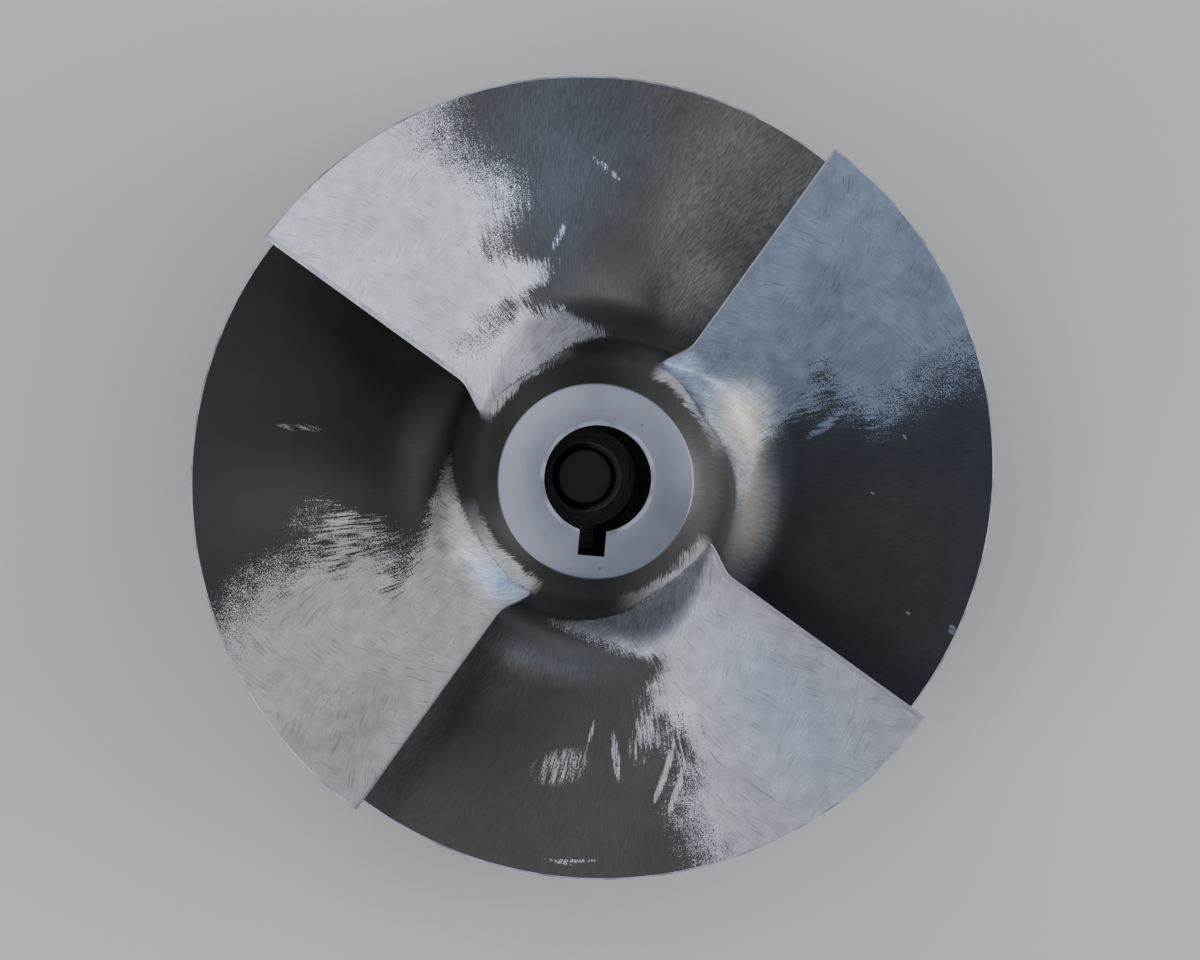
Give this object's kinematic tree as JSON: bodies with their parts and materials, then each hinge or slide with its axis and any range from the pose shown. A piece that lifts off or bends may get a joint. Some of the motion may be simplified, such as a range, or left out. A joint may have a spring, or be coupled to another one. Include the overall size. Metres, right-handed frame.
{
  "type": "pump impeller",
  "caption": "Open axial-flow pump impeller cast in one piece: helical overlapping blades on a round-nosed hub with a stepped keyed bore.",
  "frame": {"origin": "centre of the hub's back face, on the shaft axis; the part rests on that face", "axes": "+Z along the shaft axis towards the inlet face; +Y up and +X right in the picture, which looks down -Z"},
  "size_m": [0.1962, 0.1962, 0.095],
  "materials": {
    "cast_stainless": "cast and hand-ground stainless steel, satin, bright where ground"
  },
  "bodies": {
    "root": {"impeller_casting": "cast_stainless"}
  },
  "joints": []
}
